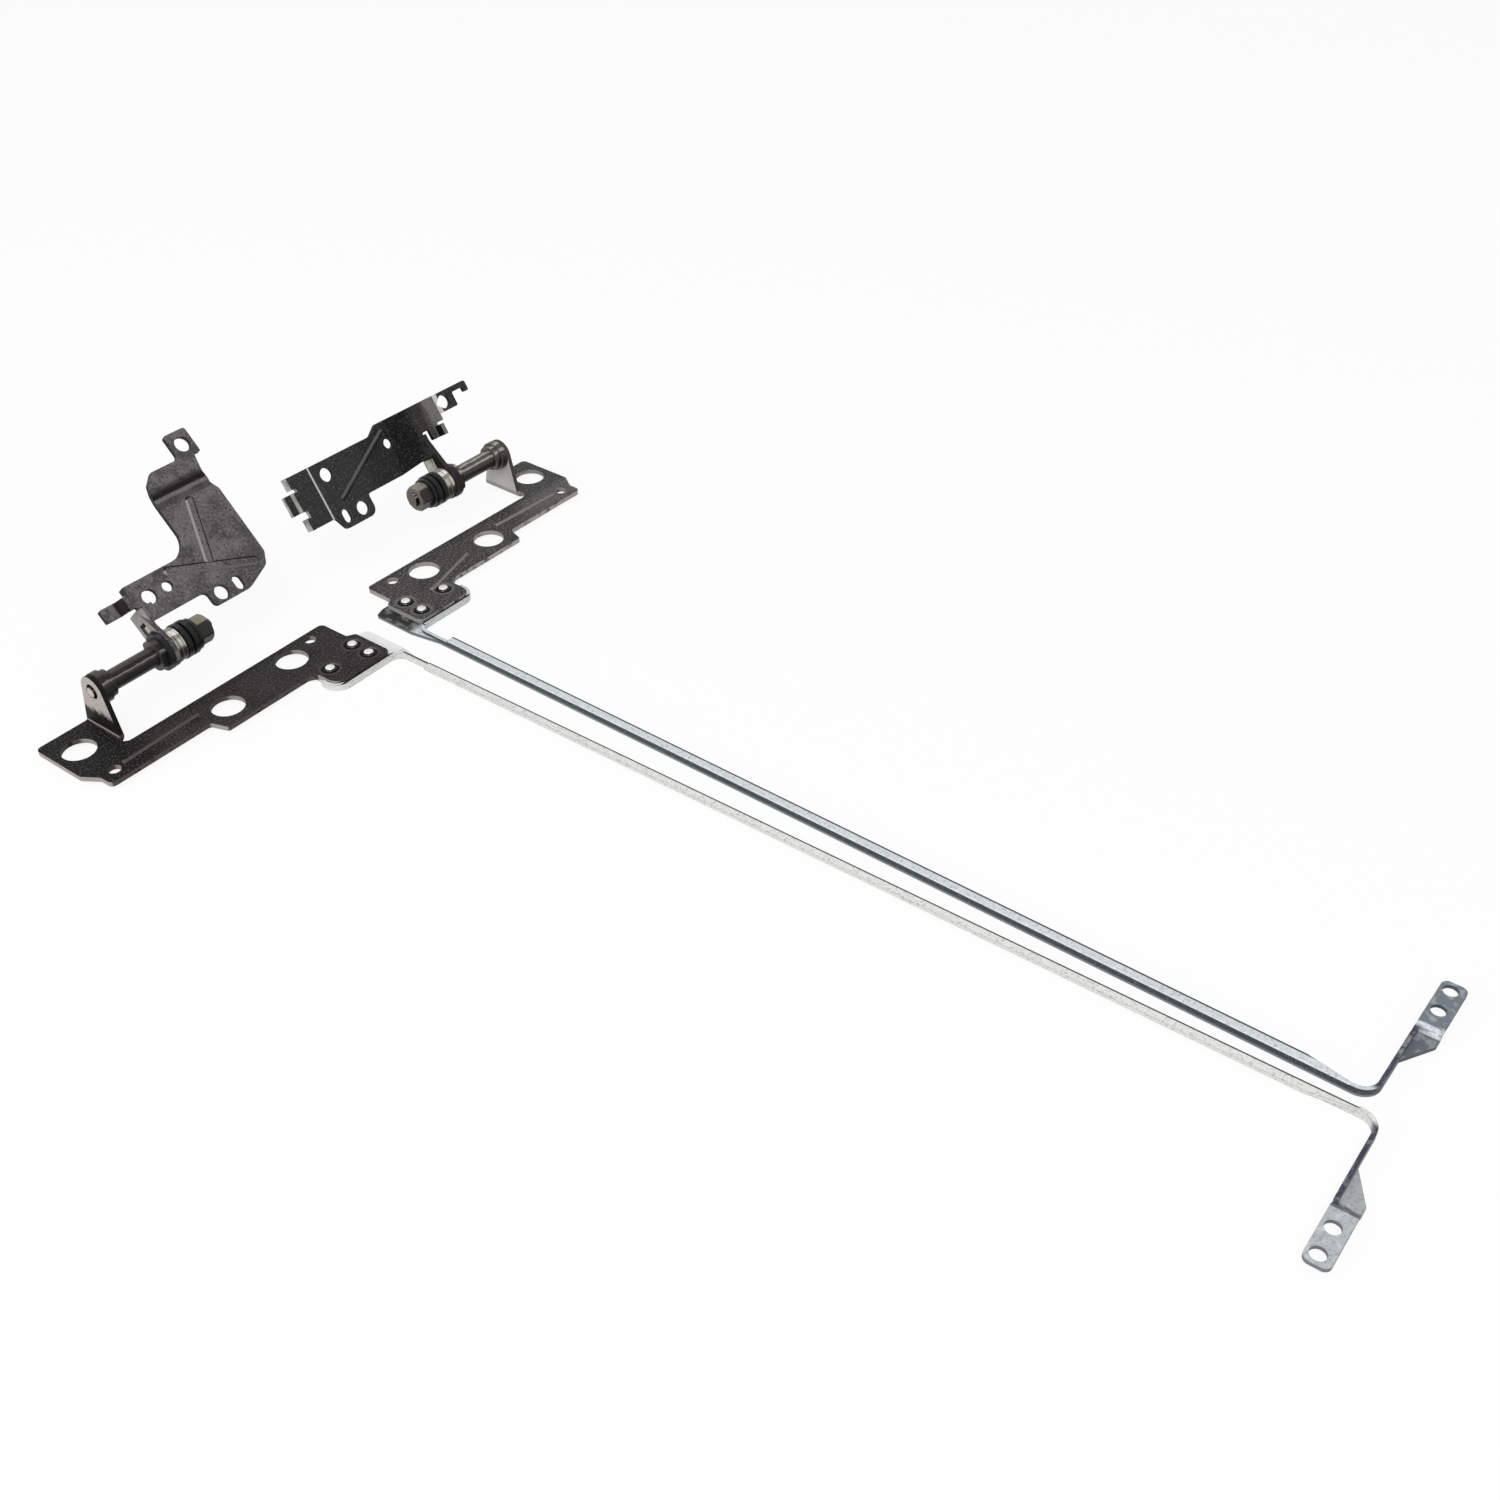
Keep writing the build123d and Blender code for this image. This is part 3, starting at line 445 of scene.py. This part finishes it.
def turned(name, side, around, ends, rings=0.15, ring_share=0.35, peened=False):
    """Round piece on the shaft: painted highlight and shade bands around it, set by the way its surface
    faces, fine rings along it and plain ends.

    A peened piece also has a bright dome in a ring painted dark as shade outside the ear.
    """
    highlight_side = (0, 0.789, 0.614)
    pin_start, pin_clear = ear_out - 1, ear_out - 0.7
    dome_inner, dome_outer = 1.0, 1.25
    make = Finish(name, side, Metallic=0.2, Specular_IOR_Level=0.3)
    # bands of painted highlight and shade by how far the surface turns toward the highlight side
    turn = make.dot(make.facing, highlight_side)
    groove = make.noise(rings, 2, (1, 0.03, 0.03))
    patch = make.noise(1.5, 4)
    colour = make.steps(turn + 0.25 * (patch - 0.5), *around)
    end_face = make.between(abs(make.faces_left), 0.6, 0.85)
    colour = make.mix(end_face, colour, make.mix(patch, *ends))
    colour = make.mix(ring_share * make.between(groove, 0.5, 0.68), colour, paint(16, 15, 15))
    colour = make.mix(0.4 * make.edges(0.15), colour, ends[1])
    if peened:
        pin = make.between(make.out, pin_start, pin_clear) * make.between(abs(make.faces_left), 0.3, 0.7)
        # painted shade in the ring around the peened end
        dome = 1 - make.between(make.from_shaft() + 0.3 * patch, dome_inner, dome_outer)
        colour = make.mix(pin, colour, make.mix(dome, paint(14, 13, 13), paint(178, 172, 168)))
    return make.finish(colour, 0.3 + 0.2 * patch, make.bump(groove, 0.015))


def bright_rivet():
    """Rivet head: flanks painted dark as shade and a bright uneven crown with a painted highlight."""
    make = Finish("bright_rivet", 1, Metallic=0.3, Specular_IOR_Level=0.5)
    patch = make.noise(0.7, 4)
    # painted shade on the flanks and a painted highlight on the crown
    crown = make.between(make.height, rivet_head_top + 0.02, rivet_head_top + 0.12)
    bright = make.mix(patch, paint(206, 204, 202), paint(252, 252, 250))
    colour = make.mix(crown, paint(24, 23, 23), bright)
    dull = make.between(make.noise(0.35, 2), 0.6, 0.75)
    colour = make.mix(0.3 * crown * dull, colour, paint(140, 138, 136))
    return make.finish(colour, 0.25 + 0.2 * patch, make.bump(patch, 0.04))


left_plate = lid_plate(
    side=-1,
    top=(paint(44, 42, 43), [(16, 26, paint(50, 47, 46)), (40, 48, paint(22, 21, 21))]),
    rear=paint(24, 23, 23),
    dots_and_highlights=paint(84, 79, 78),
    pits_and_shade=paint(12, 12, 12),
    front_edge=paint(78, 72, 70),
    lit_end_edge=paint(150, 142, 138),
    ear_highlight=paint(176, 167, 163),
    ear_shade=paint(24, 22, 21),
    ear_fade=(6.4, 8.2),
)
right_plate = lid_plate(
    side=1,
    top=(paint(66, 64, 64), [(10, 24, paint(66, 64, 63)), (36, 48, paint(92, 90, 90))]),
    rear=paint(44, 43, 43),
    dots_and_highlights=paint(126, 123, 121),
    pits_and_shade=paint(34, 33, 33),
    front_edge=paint(160, 156, 153),
    lit_end_edge=paint(150, 146, 144),
    ear_highlight=paint(190, 187, 185),
    ear_shade=paint(70, 67, 65),
    ear_fade=(1.5, 4.5),
)
left_rail = zinc_rail(
    side=-1,
    top=paint(222, 222, 220),
    wall=paint(206, 206, 203),
    tab=paint(176, 181, 186),
    gusset=paint(166, 170, 172),
    cross=paint(58, 60, 76),
    joggle=paint(96, 100, 106),
    lip=paint(212, 212, 210),
    pad=paint(238, 239, 238),
    far_edge=-4.6,
)
right_rail = zinc_rail(
    side=1,
    top=paint(206, 213, 216),
    wall=paint(60, 67, 68),
    tab=paint(112, 121, 131),
    gusset=paint(96, 104, 110),
    cross=paint(62, 64, 80),
    joggle=paint(206, 212, 218),
    lip=paint(202, 204, 205),
    pad=paint(40, 40, 43),
    far_edge=-3.14,
)
left_shaft = turned("shaft_left", -1, (paint(18, 17, 17), [
    (-0.55, -0.42, paint(46, 43, 42)),
    (-0.34, -0.26, paint(116, 110, 106)),
    (-0.2, -0.1, paint(20, 19, 19)),
    (0.15, 0.4, paint(66, 61, 58)),
    (0.7, 0.9, paint(26, 24, 23)),
]), (paint(24, 22, 22), paint(84, 79, 75)), peened=True)
right_shaft = turned("shaft_right", 1, (paint(26, 24, 23), [
    (-0.7, -0.5, paint(64, 61, 57)),
    (-0.3, -0.2, paint(160, 155, 150)),
    (-0.1, 0.05, paint(78, 74, 69)),
    (0.3, 0.42, paint(172, 168, 162)),
    (0.5, 0.62, paint(96, 91, 86)),
    (0.75, 0.9, paint(46, 43, 41)),
]), (paint(34, 32, 31), paint(120, 115, 110)), peened=True)
washer = turned("washer_steel", 1, (paint(40, 38, 33), [
    (-0.7, -0.45, paint(196, 192, 178)),
    (-0.2, 0.0, paint(142, 138, 124)),
    (0.1, 0.25, paint(250, 249, 242)),
    (0.5, 0.6, paint(176, 171, 156)),
    (0.8, 0.95, paint(96, 92, 82)),
]), (paint(110, 106, 98), paint(220, 217, 208)), rings=0.4, ring_share=0.7)
black_ring = turned("black_ring", 1, (paint(14, 14, 15), [
    (-0.3, 0.1, paint(22, 22, 24)),
    (0.3, 0.5, paint(56, 57, 62)),
    (0.65, 0.85, paint(20, 20, 22)),
]), (paint(14, 14, 15), paint(40, 40, 44)))
nut = turned("bronze_nut", 1, (paint(22, 21, 18), [
    (-0.6, -0.3, paint(38, 37, 32)),
    (0.0, 0.25, paint(140, 135, 118)),
    (0.6, 0.85, paint(66, 63, 54)),
]), (paint(24, 23, 20), paint(132, 129, 118)), rings=0.4, ring_share=0.3)
rivet = bright_rivet()

finishes = {
    "left_lid_plate": left_plate,
    "right_lid_plate": right_plate,
    "left_base_bracket": left_bracket(),
    "right_base_bracket": right_bracket(),
    "left_display_rail": left_rail,
    "right_display_rail": right_rail,
    "left_hinge_shaft": left_shaft,
    "right_hinge_shaft": right_shaft,
    "rail_rivets": rivet,
    "keyed_washer": washer,
    "friction_washer": washer,
    "outer_washer": black_ring,
    "end_washer": black_ring,
    "disc_spring": black_ring,
    "lock_nut": nut,
}

for name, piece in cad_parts.items():
    plain = name.split("_", 1)[1].rstrip("_1234")
    piece.data.materials.clear()
    piece.data.materials.append(finishes.get(name) or finishes[plain])


def hinge_point(side, out, back, height):
    """A place on a hinge, in metres."""
    turn = Matrix.Rotation(math.radians(-side * toe_in), 3, "Z")
    place = turn @ Vector((side * out, back, height))
    place += Vector((side * first_rivet[0], side * first_rivet[1] + pair_middle, 0))
    return place * mm


def crown_tree():
    """Geometry nodes: a hammered crown on each point."""
    tree = bpy.data.node_groups.new("rivet_domes", "GeometryNodeTree")
    sockets = tree.interface
    sockets.new_socket("Points", in_out="INPUT", socket_type="NodeSocketGeometry")
    sizes = {label: sockets.new_socket(label, in_out="INPUT", socket_type="NodeSocketFloat").identifier
             for label in ("Radius", "Flatness", "Dent")}
    sockets.new_socket("Crowns", in_out="OUTPUT", socket_type="NodeSocketGeometry")
    make = Nodes(tree)
    points, radius, flatness, dent = (make.node("NodeGroupInput", output=label)
                                      for label in ("Points", "Radius", "Flatness", "Dent"))
    ball = make.node("GeometryNodeMeshUVSphere", None, {"Segments": 32, "Rings": 16, "Radius": radius})
    squash = make.node("ShaderNodeCombineXYZ", None, {"X": 1, "Y": 1, "Z": flatness})
    crown = make.node("GeometryNodeTransform", None, {"Geometry": ball, "Scale": squash})
    placed = make.node("GeometryNodeInstanceOnPoints", None, {"Points": points, "Instance": crown})
    solid = make.node("GeometryNodeRealizeInstances", None, {"Geometry": placed})
    blows = make.node("ShaderNodeTexNoise", None, {"Scale": 1 / (hammer_blow * mm)})
    dents = make.node("ShaderNodeCombineXYZ", None, {"Z": blows * dent})
    hammered = make.node("GeometryNodeSetPosition", None, {"Geometry": solid, "Offset": dents})
    painted = make.node("GeometryNodeSetMaterial", None, {"Geometry": hammered, "Material": rivet})
    make.node("NodeGroupOutput", None, {"Crowns": painted})
    return tree, sizes


def rivet_crowns():
    """The bright crowns of the six rivets, one mesh on the lid side."""
    tree, sizes = crown_tree()
    points = bpy.data.meshes.new("rivet_points")
    places = [hinge_point(side, out, back, rivet_head_top) for side in (-1, 1) for out, back in rivets]
    points.from_pydata(places, [], [])
    maker = bpy.data.objects.new("rivet_maker", points)
    bpy.context.scene.collection.objects.link(maker)
    modifier = maker.modifiers.new("crowns", "NODES")
    modifier.node_group = tree
    modifier[sizes["Radius"]] = crown_radius * mm
    modifier[sizes["Flatness"]] = crown_height / crown_radius
    modifier[sizes["Dent"]] = hammer_dent * mm
    mesh = bpy.data.meshes.new_from_object(maker.evaluated_get(bpy.context.evaluated_depsgraph_get()))
    bpy.data.objects.remove(maker)
    mesh.name = "rivet_domes"
    mesh.polygons.foreach_set("use_smooth", [True] * len(mesh.polygons))
    domes = bpy.data.objects.new("rivet_domes", mesh)
    bpy.context.scene.collection.objects.link(domes)
    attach(domes, "lid_side")


def stage_floor():
    """White table top that keeps a faint shadow."""
    mesh = bpy.data.meshes.new("table_top")
    corners = [(-1, -1), (1, -1), (1, 1), (-1, 1)]
    mesh.from_pydata([(x * table_half, y * table_half, -table_drop) for x, y in corners], [], [(0, 1, 2, 3)])
    top = bpy.data.objects.new("table_top", mesh)
    bpy.context.scene.collection.objects.link(top)
    material = bpy.data.materials.new("white_table")
    material.use_nodes = True
    make = Nodes(material.node_tree)
    make.tree.nodes.clear()
    lit = make.node("ShaderNodeBsdfDiffuse", None, {"Color": (0.9, 0.9, 0.9, 1)})
    glow = make.node("ShaderNodeEmission", None, {"Strength": 1.0})
    shown = make.node("ShaderNodeMixShader", None, {0: 0.9 * make.seen_directly(), 1: lit, 2: glow})
    make.node("ShaderNodeOutputMaterial", None, {"Surface": shown})
    mesh.materials.append(material)


def studio_world():
    """White surroundings for the camera and for reflections, softer grey for the fill light."""
    world = bpy.data.worlds.new("studio")
    bpy.context.scene.world = world
    world.use_nodes = True
    make = Nodes(world.node_tree)
    make.tree.nodes.clear()
    strength = 0.55 + 0.45 * make.seen_directly()
    surroundings = make.node("ShaderNodeBackground", None, {"Color": (1, 1, 1, 1), "Strength": strength})
    make.node("ShaderNodeOutputWorld", None, {"Surface": surroundings})


def lamp(name, place, size, watts):
    data = bpy.data.lights.new(name, "AREA")
    data.shape = "DISK"
    data.size = size
    data.energy = watts
    made = bpy.data.objects.new(name, data)
    bpy.context.scene.collection.objects.link(made)
    made.location = place
    made.rotation_euler = (Vector(light_aim) - Vector(place)).to_track_quat("-Z", "Y").to_euler()


def camera():
    data = bpy.data.cameras.new("camera")
    data.sensor_width = 36
    data.lens = camera_lens
    data.clip_start = 0.01
    made = bpy.data.objects.new("camera", data)
    bpy.context.scene.collection.objects.link(made)
    turn, lift, roll = (math.radians(angle) for angle in (camera_turn, camera_lift, camera_roll))
    away = Vector((math.sin(turn) * math.cos(lift), -math.cos(turn) * math.cos(lift), math.sin(lift)))
    right = Vector((math.cos(turn), math.sin(turn), 0))
    up = away.cross(right)
    across = right * math.cos(roll) + up * math.sin(roll)
    over = up * math.cos(roll) - right * math.sin(roll)
    place = (Vector(camera_target) + away * camera_distance) * mm
    made.matrix_world = Matrix.Translation(place) @ Matrix((across, over, away)).transposed().to_4x4()
    bpy.context.scene.camera = made


bpy.context.scene.view_settings.view_transform = "Standard"
rivet_crowns()
stage_floor()
studio_world()
lamp("key", *key_light)
lamp("fill", *fill_light)
camera()
